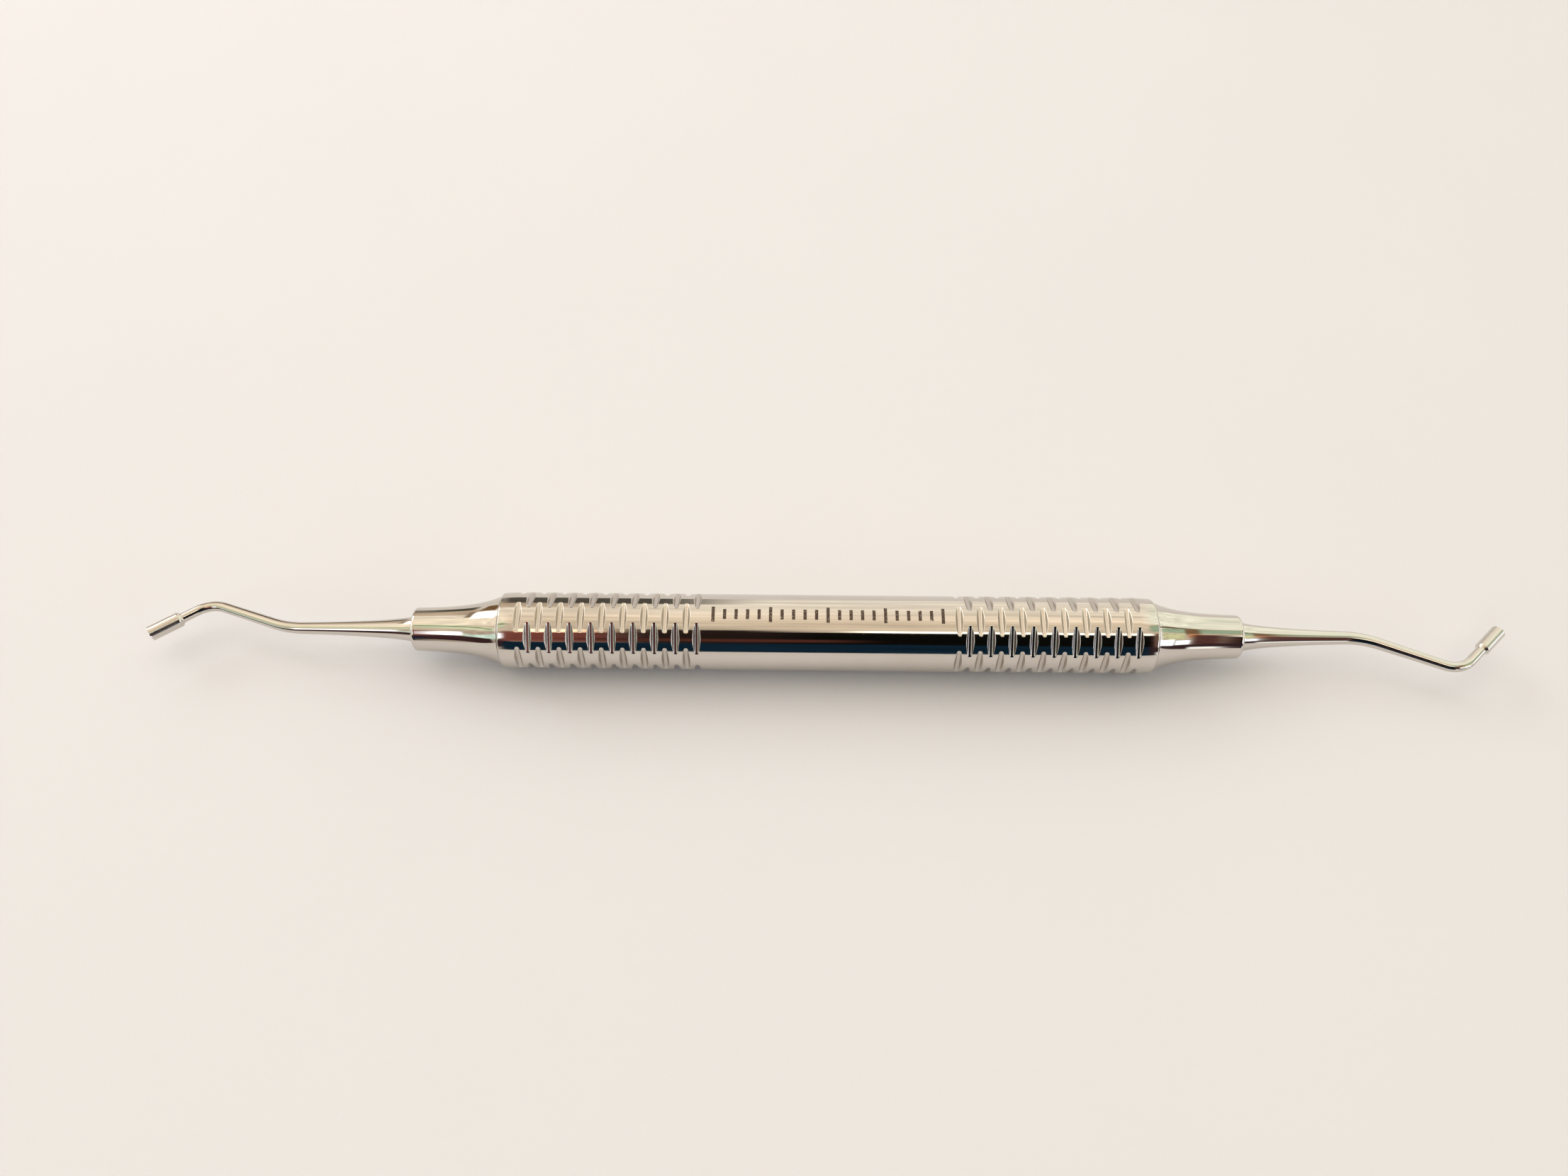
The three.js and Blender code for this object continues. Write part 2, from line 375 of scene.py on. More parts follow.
def handle_tube(material):
    angles = handle_angles()
    x = handle_lines(angles)
    radius = handle_radius(x, angles)
    rise_along = handle_radius(x + TINY_STEP, angles) - handle_radius(x - TINY_STEP, angles)
    rise_round = handle_radius(x, angles + TINY_STEP) - handle_radius(x, angles - TINY_STEP)
    along = rise_along / (2 * TINY_STEP)
    round_it = rise_round / math.radians(2 * TINY_STEP)
    out, onward = across(angles), across(angles + 90)
    normals = out - along[..., None] * ALONG - (round_it / radius)[..., None] * onward
    normals /= np.linalg.norm(normals, axis=-1, keepdims=True)
    outside = x[..., None] * ALONG + radius[..., None] * out

    before_end = (CROWN_END - LIP_START, TUBE_RADIUS - CROWN_DROP)
    lip = [
        (TUBE_END, TUBE_RADIUS - CROWN_DROP, END_ROUNDING),
        (TUBE_END, BORE_RADIUS, BORE_EDGE_ROUNDING),
    ]
    far_lip = [(-place, r, rounding) for place, r, rounding in reversed(lip)]
    corners = [before_end, *lip, *far_lip, (-before_end[0], before_end[1])]
    # The first two points and the last two lie on the outside, which has its own lines there.
    inside = inner(rounded(corners, steps=8), first=2, last=2)
    inside_points, inside_normals = turned(inside, angles)

    shell = Shell()
    all_points = np.concatenate([outside, inside_points])
    all_normals = np.concatenate([normals, inside_normals])
    shell.add_rings(all_points, all_normals, closed=True)
    return shell.to_piece("handle", material, "handle_tube")


# --- The cones ------------------------------------------------------------------------------------


def flare_radius(x):
    return WAIST_RADIUS + FLARE_HEIGHT * np.exp(-(x - TUBE_END) / FLARE_LENGTH)


def cone_outline():
    spigot_end = TUBE_END - SPIGOT_LENGTH
    seat = TUBE_END + SEAT_GAP
    flare_start = seat + FLARE_CURVE_START
    rim_start = CONE_FACE - RIM_RADIUS
    rim_radius = float(flare_radius(rim_start))
    socket_end = CONE_FACE - SOCKET_DEPTH
    back = rounded([
        (spigot_end, SPIGOT_FAN_RADIUS),
        (spigot_end, SPIGOT_RADIUS, HIDDEN_CORNER),
        (seat, SPIGOT_RADIUS, SEAT_CORNER),
        (seat, float(flare_radius(seat)), FLARE_CORNER),
        (flare_start, float(flare_radius(flare_start))),
    ])
    flare = curve(flare_radius, np.linspace(flare_start, rim_start, FLARE_STEPS)[:-1])
    front = rounded([
        (rim_start - RIM_RADIUS, rim_radius),
        (CONE_FACE, rim_radius, RIM_RADIUS),
        (CONE_FACE, SOCKET_RADIUS, SOCKET_CORNER),
        (socket_end, SOCKET_RADIUS, HIDDEN_CORNER),
        (socket_end, FAN_RADIUS),
    ], steps=RIM_STEPS)
    return joined(inner(back, last=1), flare, inner(front, first=1))


def cone(name, node, material, places=()):
    shell = Shell()
    points, normals = turned(cone_outline(), np.arange(CONE_SIDES) * 360 / CONE_SIDES)
    last = shell.add_rings(points, normals)
    shell.add_end(range(CONE_SIDES), points[0].mean(0), normals[0][0])
    shell.add_end(last, points[-1].mean(0), normals[-1][0])
    return shell.to_piece(name, material, node, places)


# --- The plugger ends: turned straight, given teeth, and bent twice -------------------------------


def bend_plan(end):
    """The centre line from the cone's face on, as (length, turn) pairs."""
    away, away_radius = math.radians(end["offset_bend"][0]), end["offset_bend"][1]
    back, back_radius = math.radians(end["hook_bend"][0]), end["hook_bend"][1]
    away_tangent = away_radius * math.tan(away / 2)
    back_tangent = back_radius * math.tan((away + back) / 2)
    head = end["head_reach"] * math.cos(back) + end["head_radius"] * math.sin(back)
    first_corner = end["tip"] - CONE_FACE - end["bend_spacing"] * math.cos(away) - head
    return [
        (first_corner - away_tangent, 0.0),
        (away_radius * away, -away),
        (end["bend_spacing"] - away_tangent - back_tangent, 0.0),
        (back_radius * (away + back), away + back),
        (end["head_reach"] - back_tangent, 0.0),
    ]


def along_plan(plan, distance):
    """Where the centre line is, and which way it heads, at distances along it."""
    x, y, heading = np.minimum(distance, 0), 0 * distance, 0 * distance
    left = np.maximum(distance, 0)
    for length, turn in plan:
        run = np.minimum(left, length)
        angle = turn * run / length
        chord = run * np.sinc(angle / 2 / math.pi)
        x = x + chord * np.cos(heading + angle / 2)
        y = y + chord * np.sin(heading + angle / 2)
        heading = heading + angle
        left = left - run
    return x, y, heading


def bender(plan):
    """What bends a straight blank, whose cone face lies at 0, along the plan."""

    def bend(points, normals, corners):
        x, y, heading = along_plan(plan, points[:, 0])
        moved = np.stack([
            CONE_FACE + x - points[:, 1] * np.sin(heading),
            y + points[:, 1] * np.cos(heading),
            points[:, 2],
        ], 1)
        heading = along_plan(plan, corners[:, 0])[2]
        turned_normals = np.stack([
            normals[:, 0] * np.cos(heading) - normals[:, 1] * np.sin(heading),
            normals[:, 0] * np.sin(heading) + normals[:, 1] * np.cos(heading),
            normals[:, 2],
        ], 1)
        return moved, turned_normals

    return bend


def shank_radius(end, distance, head_start):
    """The tapering shank, and the short shoulder where it swells to the head."""
    taper, taper_length = end["taper"]
    fillet, fillet_length = end["fillet"]
    swell = taper * np.exp(-distance / taper_length) + fillet * np.exp(-distance / fillet_length)
    radius = end["neck"] + swell
    share = np.clip((distance - head_start) / SHOULDER_LENGTH + 1, 0, 1)
    rise = share * share * (3 - 2 * share)
    return radius + (end["head_radius"] - radius) * rise


def plugger_outline(end, total):
    head_start = total - end["head_length"]
    curve_start = SEAT_GAP + FOOT_CURVE_START

    def radius_at(distance):
        return shank_radius(end, distance, head_start)

    foot = rounded([
        (-TANG_LENGTH, FAN_RADIUS),
        (-TANG_LENGTH, TANG_RADIUS, HIDDEN_CORNER),
        (SEAT_GAP, TANG_RADIUS, TANG_CORNER),
        (SEAT_GAP, float(radius_at(SEAT_GAP)), FOOT_CORNER),
        (curve_start, float(radius_at(curve_start))),
    ])
    before, after = (margin * SHOULDER_LENGTH for margin in SHOULDER_MARGINS)
    near_foot = np.arange(curve_start, FOOT_STRETCH, FOOT_SPACING)
    shank = np.arange(FOOT_STRETCH, head_start - before, SHANK_SPACING)
    shoulder = np.linspace(head_start - before, head_start + after, SHOULDER_STEPS)
    head = np.linspace(head_start + HEAD_START_GAP, total - 2 * end["tooth_depth"], HEAD_STEPS)
    places = np.concatenate([near_foot, shank, shoulder, head])
    return joined(inner(foot, last=1), curve(radius_at, places))


def groove_spots(end):
    """Where the working face's V grooves lie, from its middle, and how wide half a groove is."""
    pitch = 2 * end["head_radius"] * TEETH_SHARE / TEETH_ACROSS
    middles = (np.arange(TEETH_ACROSS - 1) - (TEETH_ACROSS - 2) / 2) * pitch
    return middles, pitch * TOOTH_GROOVE_SHARE / 2


def groove_depth(end, y, z):
    """How far the working face lies below its teeth, at a place on it."""
    middles, half_width = groove_spots(end)
    deepest = 0.0
    for side in (y, z):
        aside = np.min(np.abs(np.subtract.outer(side, middles)), axis=-1)
        below = end["tooth_depth"] * np.clip(1 - aside / half_width, 0, None)
        deepest = np.maximum(deepest, below)
    return deepest


def face_crossings(end, radius):
    """The groove lines, each as the two angles at which it meets the working face's rim."""
    middles, half_width = groove_spots(end)
    crossings = []
    for line in (middles[:, None] + half_width * np.array([-1, 0, 1])).ravel():
        lean = math.degrees(math.asin(line / radius))
        crossings += [(-lean, 180 + lean), (90 - lean, lean - 90)]
    return np.round(np.mod(crossings, 360), 4)


def rim_angles(crossings):
    even = np.arange(SHANK_SIDES) * 360 / SHANK_SIDES
    met = np.unique(crossings)
    apart = np.abs((even[:, None] - met + 180) % 360 - 180).min(1)
    return np.sort(np.concatenate([met, even[apart > 1]]))


def add_working_face(shell, end, face, ring, rim, angles, crossings):
    """Closes the head with a flat face that V grooves cross both ways, so that square teeth stand up."""
    middles, half_width = groove_spots(end)
    spots = [tuple(point) for point in rim]
    lines = [tuple(int(np.argmin(np.abs(angles - angle))) for angle in pair) for pair in crossings]
    for y in middles:
        for z in middles:
            for lean in (-1, 1):
                lines.append((len(spots), len(spots) + 1))
                spots.append((y - half_width, z - lean * half_width))
                spots.append((y + half_width, z + lean * half_width))
    places, _, triangles, sources, _, _ = geometry.delaunay_2d_cdt(
        [Vector(spot) for spot in spots], lines, [], 0, SAME_SPOT
    )
    numbers = []
    for place, source in zip(places, sources):
        is_rim = len(source) > 0 and source[0] < len(ring)
        y, z = place
        point = np.array([face - groove_depth(end, y, z), y, z])
        numbers.append(ring[source[0]] if is_rim else shell.add_points([point]))
    for triangle in triangles:
        a, b, c = (np.array(shell.points[numbers[corner]]) for corner in triangle)
        normal = np.cross(b - a, c - a)
        normal /= np.linalg.norm(normal)
        shell.add_face(tuple(numbers[corner] for corner in triangle), (normal,) * 3)


def plugger_end(name, node, end, material, places=()):
    plan = bend_plan(end)
    total = sum(length for length, _ in plan)
    rim_radius = end["head_radius"] - RIM_SOFTNESS
    crossings = face_crossings(end, rim_radius)
    angles = rim_angles(crossings)
    points, normals = turned(plugger_outline(end, total), angles)

    out = across(angles)
    depth = groove_depth(end, rim_radius * out[:, 1], rim_radius * out[:, 2])[:, None]
    edge_points, edge_normals = [], []
    for lean in np.radians((0, 30, 60, 90)):
        inset = RIM_SOFTNESS * (1 - math.cos(lean))
        drop = RIM_SOFTNESS * (1 - math.sin(lean))
        edge_points.append((total - depth - drop) * ALONG + (end["head_radius"] - inset) * out)
        edge_normals.append(math.sin(lean) * ALONG + math.cos(lean) * out)

    shell = Shell()
    all_points = np.concatenate([points, edge_points])
    all_normals = np.concatenate([normals, edge_normals])
    last = shell.add_rings(all_points, all_normals)
    shell.add_end(range(len(angles)), points[0].mean(0), normals[0][0])
    add_working_face(shell, end, total, last, rim_radius * out[:, 1:], angles, crossings)
    return shell.to_piece(name, material, node, (bender(plan), *places))


# --- Shader nodes ---------------------------------------------------------------------------------


class Nodes:
    """Short ways to add nodes to a tree. A value is a number, a colour or another node's output."""

    def __init__(self, tree):
        self.tree = tree

    def add(self, kind, values=(), **settings):
        node = self.tree.nodes.new("ShaderNode" + kind)
        for key, value in settings.items():
            setattr(node, key, value)
        for key, value in dict(values).items():
            self.give(node.inputs[key], value)
        return node

    def give(self, socket, value):
        if isinstance(value, bpy.types.NodeSocket):
            self.tree.links.new(value, socket)
        else:
            socket.default_value = value

    def math(self, operation, *values):
        return self.add("Math", enumerate(values), operation=operation).outputs[0]

    def product(self, first, *others):
        for other in others:
            first = self.math("MULTIPLY", first, other)
        return first

    def rise(self, value, low, high, smooth=True):
        """0 where the value is low and 1 where it is high."""
        kind = "SMOOTHSTEP" if smooth else "LINEAR"
        values = {"Value": value, "From Min": low, "From Max": high}
        return self.add("MapRange", values, interpolation_type=kind, clamp=True).outputs["Result"]

    def between(self, value, low, high, softness):
        """1 between two values and 0 outside them, with soft edges."""
        up = self.rise(value, low - softness / 2, low + softness / 2)
        down = self.rise(value, high + softness / 2, high - softness / 2)
        return self.product(up, down)

    def blend(self, share, first, second):
        """A colour that goes from the first to the second as the share goes from 0 to 1."""
        first, second = (self.opaque(colour) for colour in (first, second))
        return self.add("Mix", {0: share, 6: first, 7: second}, data_type="RGBA").outputs[2]

    @staticmethod
    def opaque(colour):
        return (*colour, 1.0) if isinstance(colour, tuple) else colour

    def noise(self, vector, scale, detail=2.0, roughness=0.5):
        values = {"Vector": vector, "Scale": scale, "Detail": detail, "Roughness": roughness}
        return self.add("TexNoise", values).outputs["Fac"]

    def stretched(self, vector, scale):
        return self.add("Mapping", {"Vector": vector, "Scale": scale}).outputs["Vector"]


def new_material(name):
    material = bpy.data.materials.new(name)
    material.use_nodes = True
    nodes = Nodes(material.node_tree)
    return material, nodes, material.node_tree.nodes["Principled BSDF"]


# --- Materials ------------------------------------------------------------------------------------

STEEL_COLOUR = (0.65, 0.61, 0.565)
STEEL_SHADE = (0.61, 0.568, 0.52)
# Painted shade: the handle's grooves are coloured darker than the steel, most of all deep down, where shade
# falls.
GROOVE_SHADE_COLOUR = (0.52, 0.475, 0.43)
ETCH_COLOUR = (0.05, 0.025, 0.016)
PER_MILLIMETRE = 1000.0
PATCH_SCALE, SPECK_SCALE, ETCH_SCALE = 0.09, 1.7, 6.0  # noise features to the millimetre
SHADE_RANGE, SMUDGE_RANGE = (0.35, 0.7), (0.42, 0.72)  # from no share to a full one, in noise values
SPECK_RANGE, WORN_RANGE = (0.25, 0.8), (0.2, 0.45)
TURNED_LINES = (9.0, 0.5, 0.5)
ROUND_MARKS = (2.0, 2.0, 2.0)
LINE_ROUGHNESS = 0.02
SATIN_START = 80.4  # how far from the middle of the instrument the heads' satin finish begins
SATIN_BLEND = 1.0
SATIN_ROUGHNESS = 0.13

TICK_PITCH = 1.4
TICK_COUNT = 21
TICKS_PER_LONG_ONE = 5
TICK_WIDTH = 0.4
TICK_HALF_HEIGHT, LONG_TICK_HALF_HEIGHT = 0.7, 1.05
TICK_SOFTNESS = 0.03
ETCH_COVER, ETCH_ROUGHNESS = 0.92, 0.45

MILLED_AND_SHADE_DEPTHS = (0.04, 0.16)  # how deep below the handle's surface the rougher milled steel and its painted shade start and are full
# How strongly the painted shade darkens the grooves, and how much rougher the milled steel there is.
GROOVE_SHADE_COVER, MILLED_ROUGHNESS = 0.55, 0.12

PAPER_COLOURS = ((0.718, 0.716, 0.762), (0.738, 0.736, 0.782))
PAPER_ROUGHNESS, PAPER_SHINE = 0.85, 0.25
CLOUD_SCALE, GRAIN_SCALE = 0.025, 2.6  # noise features to the millimetre
GRAIN_STRENGTH, GRAIN_DEPTH = 0.35, 0.04


def steel(name, gloss, haze, line_depth, line_shape):
    """Polished steel: fine turning lines, a faint haze and patches of handling.

    The gloss is the roughness where it is cleanest, and the haze is the roughness where it is dullest.
    """
    material, nodes, shader = new_material(name)
    place = nodes.add("TexCoord").outputs["Object"]
    patches = nodes.noise(place, PATCH_SCALE * PER_MILLIMETRE, detail=3.0, roughness=0.6)
    specks = nodes.noise(place, SPECK_SCALE * PER_MILLIMETRE)
    line_place = nodes.stretched(place, line_shape)
    lines = nodes.noise(line_place, PER_MILLIMETRE, detail=3.0, roughness=0.7)

    colour = nodes.blend(nodes.rise(patches, *SHADE_RANGE), STEEL_COLOUR, STEEL_SHADE)
    smudge = nodes.product(nodes.rise(patches, *SMUDGE_RANGE), nodes.rise(specks, *SPECK_RANGE))
    roughness = nodes.math("MULTIPLY_ADD", smudge, haze - gloss, gloss)
    roughness = nodes.math("MULTIPLY_ADD", lines, LINE_ROUGHNESS, roughness)

    bump = nodes.add("Bump", {"Height": lines, "Strength": 1.0, "Distance": line_depth / METRE})
    shader.inputs["Metallic"].default_value = 1.0
    nodes.give(shader.inputs["Normal"], bump.outputs["Normal"])
    return material, nodes, shader, place, colour, roughness


def cone_steel():
    made = steel("cone_steel", gloss=0.05, haze=0.08, line_depth=0.00004, line_shape=TURNED_LINES)
    material, nodes, shader, _, colour, roughness = made
    nodes.give(shader.inputs["Base Color"], colour)
    nodes.give(shader.inputs["Roughness"], roughness)
    return material


def tip_steel():
    """The plugger ends' steel, polished on the shanks and satin on the heads."""
    made = steel("tip_steel", gloss=0.09, haze=0.13, line_depth=0.00003, line_shape=ROUND_MARKS)
    material, nodes, shader, place, colour, roughness = made
    x = nodes.add("SeparateXYZ", {0: place}).outputs["X"]
    from_middle = nodes.math("ABSOLUTE", nodes.math("MULTIPLY", x, METRE))
    on_head = nodes.rise(from_middle, SATIN_START, SATIN_START + SATIN_BLEND)
    nodes.give(shader.inputs["Base Color"], colour)
    roughness = nodes.math("MULTIPLY_ADD", on_head, SATIN_ROUGHNESS, roughness)
    nodes.give(shader.inputs["Roughness"], roughness)
    return material


def tick_marks(nodes, x, y, z):
    """1 on a row of short lines across the top of the handle, with every fifth one longer."""
    half_row = TICK_PITCH * (TICK_COUNT - 1) / 2
    long_pitch = TICK_PITCH * TICKS_PER_LONG_ONE
    in_row = nodes.between(x, -half_row - TICK_PITCH / 2, half_row + TICK_PITCH / 2, 0.01)
    beside = nodes.math("PINGPONG", nodes.math("ADD", x, half_row), TICK_PITCH / 2)
    long_beside = nodes.math("PINGPONG", nodes.math("ADD", x, half_row), long_pitch / 2)
    is_long = nodes.math("LESS_THAN", long_beside, TICK_WIDTH)
    added_height = LONG_TICK_HALF_HEIGHT - TICK_HALF_HEIGHT
    reach = nodes.math("MULTIPLY_ADD", is_long, added_height, TICK_HALF_HEIGHT)
    past_end = nodes.math("SUBTRACT", nodes.math("ABSOLUTE", y), reach)
    on_line = nodes.rise(beside, TICK_WIDTH / 2 + TICK_SOFTNESS, TICK_WIDTH / 2 - TICK_SOFTNESS)
    before_end = nodes.rise(past_end, TICK_SOFTNESS, -TICK_SOFTNESS)
    on_top = nodes.math("GREATER_THAN", z, TUBE_RADIUS)
    return nodes.product(in_row, on_line, before_end, on_top)


def handle_steel():
    """The handle's steel, with its milled grooves left rougher and darkened by painted shade, and its row
    of etched ticks.
    """
    made = steel("handle_steel", gloss=0.05, haze=0.09, line_depth=0.00004, line_shape=TURNED_LINES)
    material, nodes, shader, place, colour, roughness = made
    scaled = nodes.add("VectorMath", {0: place, 3: METRE}, operation="SCALE").outputs[0]
    x, y, z = nodes.add("SeparateXYZ", {0: scaled}).outputs
    height = nodes.math("SUBTRACT", z, TUBE_RADIUS)
    out = nodes.math("SQRT", nodes.math("ADD", nodes.product(y, y), nodes.product(height, height)))
    in_band = nodes.math("LESS_THAN", nodes.math("ABSOLUTE", x), TUBE_END - CROWN_LENGTH)
    # The grooves' mask: rougher milled steel there, and painted shade in its colour.
    shallow, deep = MILLED_AND_SHADE_DEPTHS
    milled_and_shaded = nodes.product(nodes.rise(out, TUBE_RADIUS - shallow, TUBE_RADIUS - deep), in_band)
    worn = nodes.rise(nodes.noise(place, ETCH_SCALE * PER_MILLIMETRE), *WORN_RANGE)
    etched = nodes.product(tick_marks(nodes, x, y, z), worn)

    # Painted shade: the colour darkens inside the grooves.
    colour = nodes.blend(nodes.product(milled_and_shaded, GROOVE_SHADE_COVER), colour, GROOVE_SHADE_COLOUR)
    colour = nodes.blend(nodes.product(etched, ETCH_COVER), colour, ETCH_COLOUR)
    roughness = nodes.math("MULTIPLY_ADD", milled_and_shaded, MILLED_ROUGHNESS, roughness)
    roughness = nodes.math("MULTIPLY_ADD", etched, ETCH_ROUGHNESS, roughness)
    nodes.give(shader.inputs["Base Color"], colour)
    nodes.give(shader.inputs["Roughness"], roughness)
    return material


def paper():
    material, nodes, shader = new_material("paper")
    place = nodes.add("TexCoord").outputs["Object"]
    cloud = nodes.noise(place, CLOUD_SCALE * PER_MILLIMETRE, detail=3.0)
    grain = nodes.noise(place, GRAIN_SCALE * PER_MILLIMETRE, detail=4.0, roughness=0.7)
    colour = nodes.blend(cloud, *PAPER_COLOURS)
    bump_values = {"Height": grain, "Strength": GRAIN_STRENGTH, "Distance": GRAIN_DEPTH / METRE}
    bump = nodes.add("Bump", bump_values)
    shader.inputs["Roughness"].default_value = PAPER_ROUGHNESS
    shader.inputs["Specular IOR Level"].default_value = PAPER_SHINE
    nodes.give(shader.inputs["Base Color"], colour)
    nodes.give(shader.inputs["Normal"], bump.outputs["Normal"])
    return material


# --- The room: soft-edged patches of light and shade on a sky, which the steel mirrors ------------

# A direction is given in degrees: over, from straight up towards -Y, and aside, towards +X.
ROOM_RAMP = (
    (-180, (0.05, 0.06, 0.08)),
    (-95, (0.95, 0.85, 0.70)),
    (-90, (1.0, 0.88, 0.72)),
    (-45, (1.05, 0.90, 0.70)),
    (-15, (1.05, 0.84, 0.61)),
    (0, (0.85, 0.67, 0.47)),
    (12, (0.62, 0.47, 0.30)),
    (22, (0.46, 0.32, 0.21)),
    (27, (0.20, 0.08, 0.05)),
    (60, (0.10, 0.04, 0.03)),
    (75, (0.03, 0.04, 0.06)),
    (180, (0.03, 0.04, 0.06)),
)

# Each patch: from and to over, from and to aside, colour, softness, and lean. The lean is how far over
# the patch moves for each degree aside.
ROOM_PATCHES = {
    "shaded wall": (-75, -45, -35, -8, (0.62, 0.47, 0.32), 10, 0),
    "cabinet": (-112, -72, -29, -18, (0.10, 0.09, 0.06), 4, 0),
    "cabinet side": (-97, -63, -18, -3, (0.10, 0.085, 0.065), 6, 0),
    "beam above the window": (-88, -64, -47, -33, (0.21, 0.11, 0.045), 4, 0),
    "high window": (-62, -29, -54, -32.5, (4.4, 4.2, 3.8), 3, 0.25),
    "window frame": (-60, -30, -32.5, -29, (0.30, 0.21, 0.12), 2, 0),
    "left wall": (-28, 8, -62, -19, (1.22, 1.02, 0.75), 8, 0),
    "left trees": (22, 38, -62, -19, (0.76, 0.88, 0.54), 4, -0.45),
    "left beam": (24, 29, -58, -19, (0.42, 0.34, 0.21), 2.5, -0.45),
    "left hedge": (47, 74, -62, -31, (0.78, 0.97, 0.78), 4, 0),
    "left sill": (34, 47, -62, -33, (0.58, 0.44, 0.33), 4, 0.2),
    "white window": (38, 56, -30, -18.5, (2.4, 2.4, 2.4), 3.5, 0),
    "dark seat on the left": (71, 98, -54, -16, (0.05, 0.02, 0.02), 4, -0.5),
    "strip lamp": (21.5, 27, 3.5, 24, (2.6, 2.4, 1.9), 2.5, 0),
    "dark middle": (26.5, 90, -4, 25, (0.004, 0.004, 0.003), 3, 0),
    "brown cloth": (31, 62, -21, -6, (0.24, 0.07, 0.05), 6, 0),
    "brown cloth's edge": (22, 64, -8, 0, (0.02, 0.011, 0.008), 4, 0),
    "small lamp": (24, 33, -13, -9.5, (2.8, 1.75, 1.05), 3, 0),
    "dark red line": (49, 57, -9, 3, (0.10, 0.03, 0.02), 4, 0),
    "low band": (62, 90, -20, 22, (0.006, 0.02, 0.035), 4, 0),
    "right wall": (-112, -10, 20, 64, (1.05, 1.0, 0.78), 6, 0),
    "right beam": (-4, 4, 22, 64, (0.19, 0.11, 0.05), 2.5, -0.5),
    "right trees": (-6, 15, 22, 64, (0.41, 0.51, 0.33), 4, -0.15),
    "brown post": (-8, 22, 31, 39, (0.23, 0.13, 0.065), 3, 0),
    "right lawn": (15, 44, 39, 64, (0.74, 0.70, 0.38), 4, 0),
    "orange cloth": (16, 34, 31, 37, (0.78, 0.36, 0.17), 3, 0),
    "red-brown cloth": (20, 68, 24, 35, (0.11, 0.042, 0.033), 6, 0),
    "near right window": (46, 66, 36, 46, (1.9, 2.0, 2.2), 2.5, 0.3),
    "far right window": (44, 76, 48, 66, (1.9, 2.0, 2.2), 2.5, 0.3),
    "dark seat on the right": (62, 90, 22, 62, (0.045, 0.022, 0.022), 5, 0.4),
    "white cushion": (80, 100, 25, 35, (1.25, 1.2, 1.1), 3, 0),
    "end light on the left": (-60, 60, -90, -64, (1.6, 1.55, 1.5), 8, 0),
    "end light on the right": (-60, 60, 66, 90, (1.5, 1.5, 1.5), 8, 0),
}
STOPS_OF_A_NEW_RAMP = 2
ROOM_TINT = (1.15, 1.22, 1.31)
CLUTTER_SCALE = 7.0
CLUTTER_RANGE, CLUTTER_BASE = 1.3, 0.35
BACKDROP_COLOUR = (0.87, 0.85, 0.82)  # what the camera sees past the paper
PAPER_HALF_WIDTH = 1500.0


def add_room():
    world = bpy.data.worlds.new("room")
    bpy.context.scene.world = world
    world.use_nodes = True
    nodes = Nodes(world.node_tree)
    direction = nodes.add("TexCoord").outputs["Generated"]
    x, y, z = nodes.add("SeparateXYZ", {0: direction}).outputs
    over = nodes.math("DEGREES", nodes.math("ARCTAN2", nodes.math("MULTIPLY", y, -1.0), z))
    aside = nodes.math("DEGREES", nodes.math("ARCSINE", x))

    ramp = nodes.add("ValToRGB", {0: nodes.rise(over, -180, 180, smooth=False)})
    stops = ramp.color_ramp.elements
    for index, (angle, colour) in enumerate(ROOM_RAMP):
        stop = stops[index] if index < STOPS_OF_A_NEW_RAMP else stops.new(0.5)
        stop.position = (angle + 180) / 360
        stop.color = Nodes.opaque(colour)
    light = ramp.outputs["Color"]
    for low, high, left, right, colour, softness, lean in ROOM_PATCHES.values():
        level = over
        if lean:
            level = nodes.math("MULTIPLY_ADD", nodes.math("SUBTRACT", aside, left), -lean, over)
        mask = nodes.product(
            nodes.between(level, low, high, softness),
            nodes.between(aside, left, right, softness),
        )
        light = nodes.blend(mask, light, colour)
    clutter = nodes.noise(direction, CLUTTER_SCALE, detail=5.0, roughness=0.6)
    strength = nodes.math("MULTIPLY_ADD", clutter, CLUTTER_RANGE, CLUTTER_BASE)
    seen = nodes.add("LightPath").outputs["Is Camera Ray"]
    tinted = nodes.add("VectorMath", {0: light, 1: ROOM_TINT}, operation="MULTIPLY").outputs[0]
    uneven = nodes.add("VectorMath", {0: tinted, 3: strength}, operation="SCALE").outputs[0]
    background = world.node_tree.nodes["Background"]
    nodes.give(background.inputs["Color"], nodes.blend(seen, uneven, BACKDROP_COLOUR))


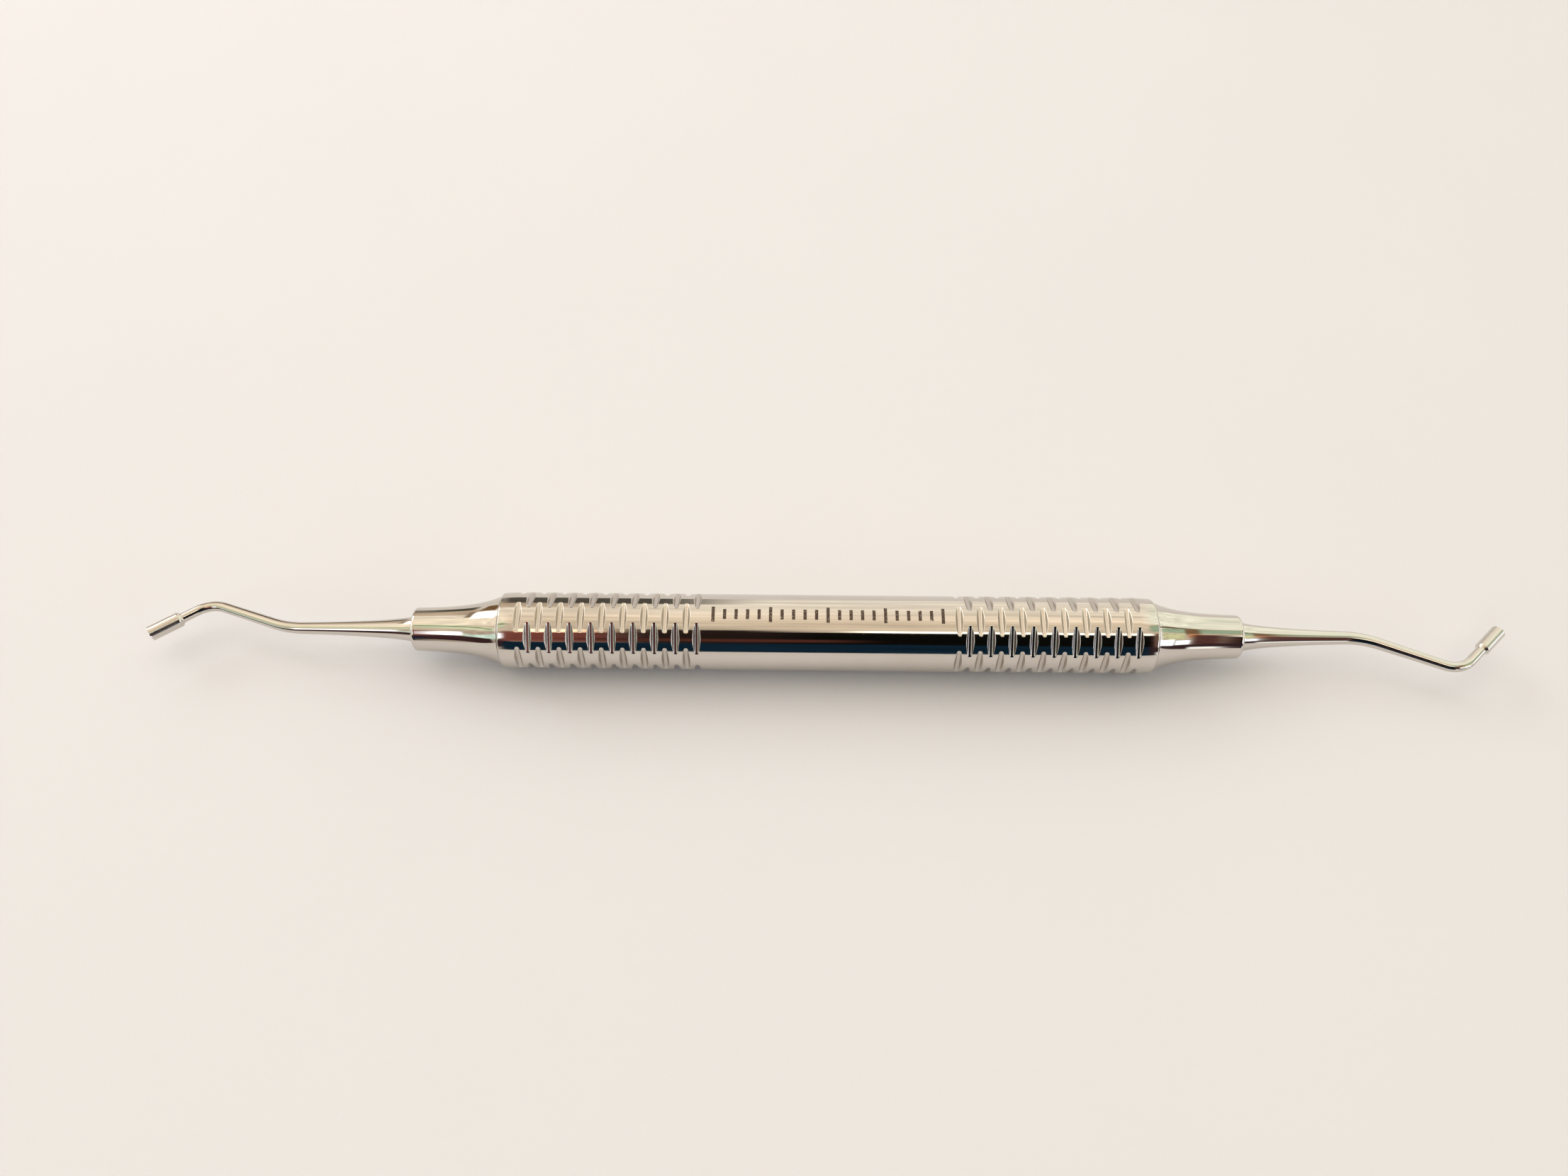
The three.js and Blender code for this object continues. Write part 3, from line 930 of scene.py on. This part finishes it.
def add_soft_light(name, location, size, power, colour):
    """A large soft light aimed at the origin, which lights the paper but isn't mirrored in the steel."""
    light = bpy.data.lights.new(name, "AREA")
    light.size = size / METRE
    light.energy = power
    light.color = colour
    holder = bpy.data.objects.new(name, light)
    bpy.context.collection.objects.link(holder)
    holder.location = Vector(location) / METRE
    holder.rotation_euler = Vector(location).to_track_quat("Z", "Y").to_euler()
    holder.visible_glossy = False
    holder.visible_camera = False


def add_floor():
    half = PAPER_HALF_WIDTH / METRE
    corners = [(-half, -half, 0), (half, -half, 0), (half, half, 0), (-half, half, 0)]
    mesh = bpy.data.meshes.new("paper_floor")
    mesh.from_pydata(corners, [], [(0, 1, 2, 3)])
    mesh.materials.append(paper())
    floor = bpy.data.objects.new("paper_floor", mesh)
    bpy.context.collection.objects.link(floor)
    floor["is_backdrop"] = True


# --- The camera: above and a little in front, looking down at 60 degrees --------------------------

CAMERA_PLACE = Vector((-5.4, -71.67, 140.04))
CAMERA_LENS = 28.09
CAMERA_DIP = math.radians(60)
CAMERA_ROLL = 0.0095  # radians


def add_camera():
    data = bpy.data.cameras.new("camera")
    data.sensor_width = 36.0
    data.sensor_fit = "HORIZONTAL"
    data.lens = CAMERA_LENS
    data.clip_start = 0.005
    data.clip_end = 20.0
    camera = bpy.data.objects.new("camera", data)
    bpy.context.collection.objects.link(camera)
    turn = Matrix.Rotation(math.pi / 2 - CAMERA_DIP, 4, "X") @ Matrix.Rotation(CAMERA_ROLL, 4, "Z")
    camera.matrix_world = Matrix.Translation(CAMERA_PLACE / METRE) @ turn
    bpy.context.scene.camera = camera


# --- The scene ------------------------------------------------------------------------------------

cone_material = cone_steel()
tip_material = tip_steel()

handle_tube(handle_steel())
cone("cone_on_the_right", "right_cone", cone_material)
cone("cone_on_the_left", "left_cone", cone_material, (half_turn,))
plugger_end("small_plugger", "small_plugger_end", SMALL_END, tip_material)
plugger_end("large_plugger", "large_plugger_end", LARGE_END, tip_material, (half_turn,))

add_floor()
add_room()
add_soft_light("overhead", (-180, 120, 575), size=500, power=0.64, colour=(1.0, 0.912, 0.895))
add_soft_light("from_the_window", (-220, 390, 210), size=200, power=0.3, colour=(1.0, 0.96, 0.92))
add_camera()
bpy.context.scene.view_settings.view_transform = "Standard"

visual_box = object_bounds()
boxes = {"cad": cad_box, "visual": visual_box}
{name: [list(corner) for corner in box] for name, box in boxes.items()}
